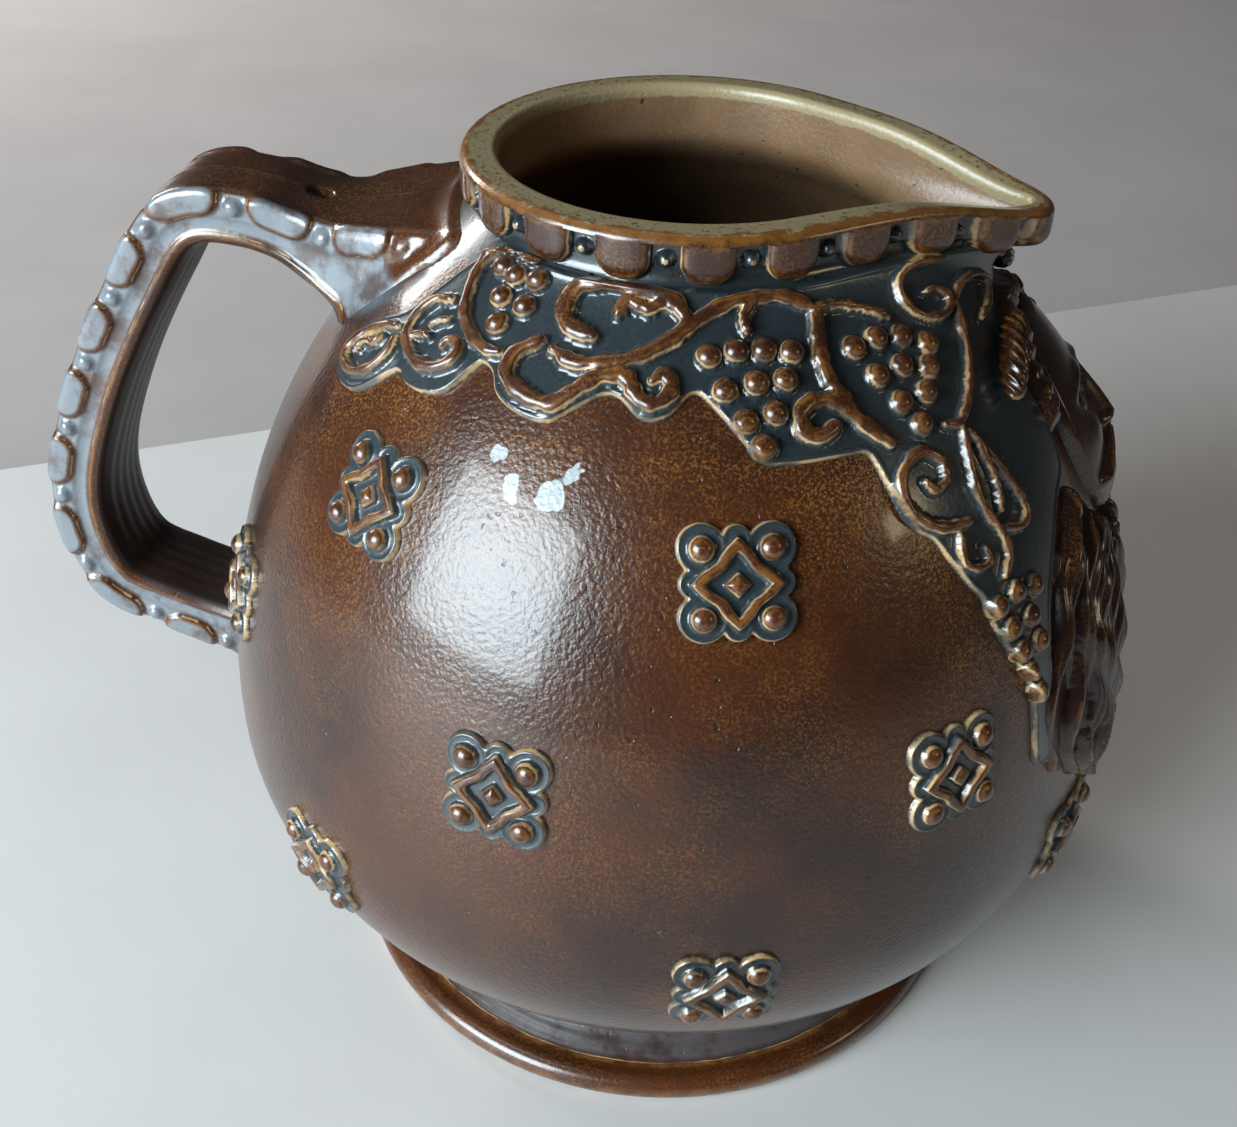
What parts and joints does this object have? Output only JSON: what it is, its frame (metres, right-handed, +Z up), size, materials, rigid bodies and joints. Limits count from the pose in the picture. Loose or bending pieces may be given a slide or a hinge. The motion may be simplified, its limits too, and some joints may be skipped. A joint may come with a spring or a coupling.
{
  "type": "stoneware jug",
  "caption": "Globular salt-glazed stoneware jug with pouring spout, squared handle, flared foot and applied relief of a bearded mask, vines and rosettes.",
  "frame": {"origin": "on the ground under the middle of the jug's overall box; the body's axis stands 17.26 mm from it towards the spout", "axes": "+X towards the spout, -X towards the handle, +Y to the left of someone looking from the handle to the spout, +Z up"},
  "size_m": [0.2258, 0.1844, 0.1773],
  "materials": {
    "brown_salt_glaze": "mottled brown salt glaze with a fine orange-peel surface, semi-gloss",
    "umber_rim_glaze": "umber glaze worn to tan along its edges, semi-gloss",
    "slate_relief_glaze": "blue-grey glaze pooled in the relief, tan where it breaks over the edges, glossy",
    "dark_relief_glaze": "brown-black glaze, tan on the worn ridges, glossy"
  },
  "bodies": {
    "root": {"body_vessel": "brown_salt_glaze", "foot_ring": "brown_salt_glaze", "neck_and_spout": "umber_rim_glaze", "handle": "umber_rim_glaze", "vine_sprig_left": "slate_relief_glaze", "vine_sprig_right": "slate_relief_glaze", "mask_face": "dark_relief_glaze", "hair_crest": "dark_relief_glaze", "rope_lock_left": "dark_relief_glaze", "rope_lock_right": "dark_relief_glaze", "beard": "dark_relief_glaze", "rosette_left_1": "slate_relief_glaze", "rosette_left_2": "slate_relief_glaze", "rosette_left_3": "slate_relief_glaze", "rosette_left_4": "slate_relief_glaze", "rosette_left_5": "slate_relief_glaze", "rosette_left_6": "slate_relief_glaze", "rosette_left_7": "slate_relief_glaze", "rosette_left_8": "slate_relief_glaze", "rosette_right_1": "slate_relief_glaze", "rosette_right_2": "slate_relief_glaze", "rosette_right_3": "slate_relief_glaze", "rosette_right_4": "slate_relief_glaze", "rosette_right_5": "slate_relief_glaze", "rosette_right_6": "slate_relief_glaze", "rosette_right_7": "slate_relief_glaze", "rosette_right_8": "slate_relief_glaze"}
  },
  "joints": []
}
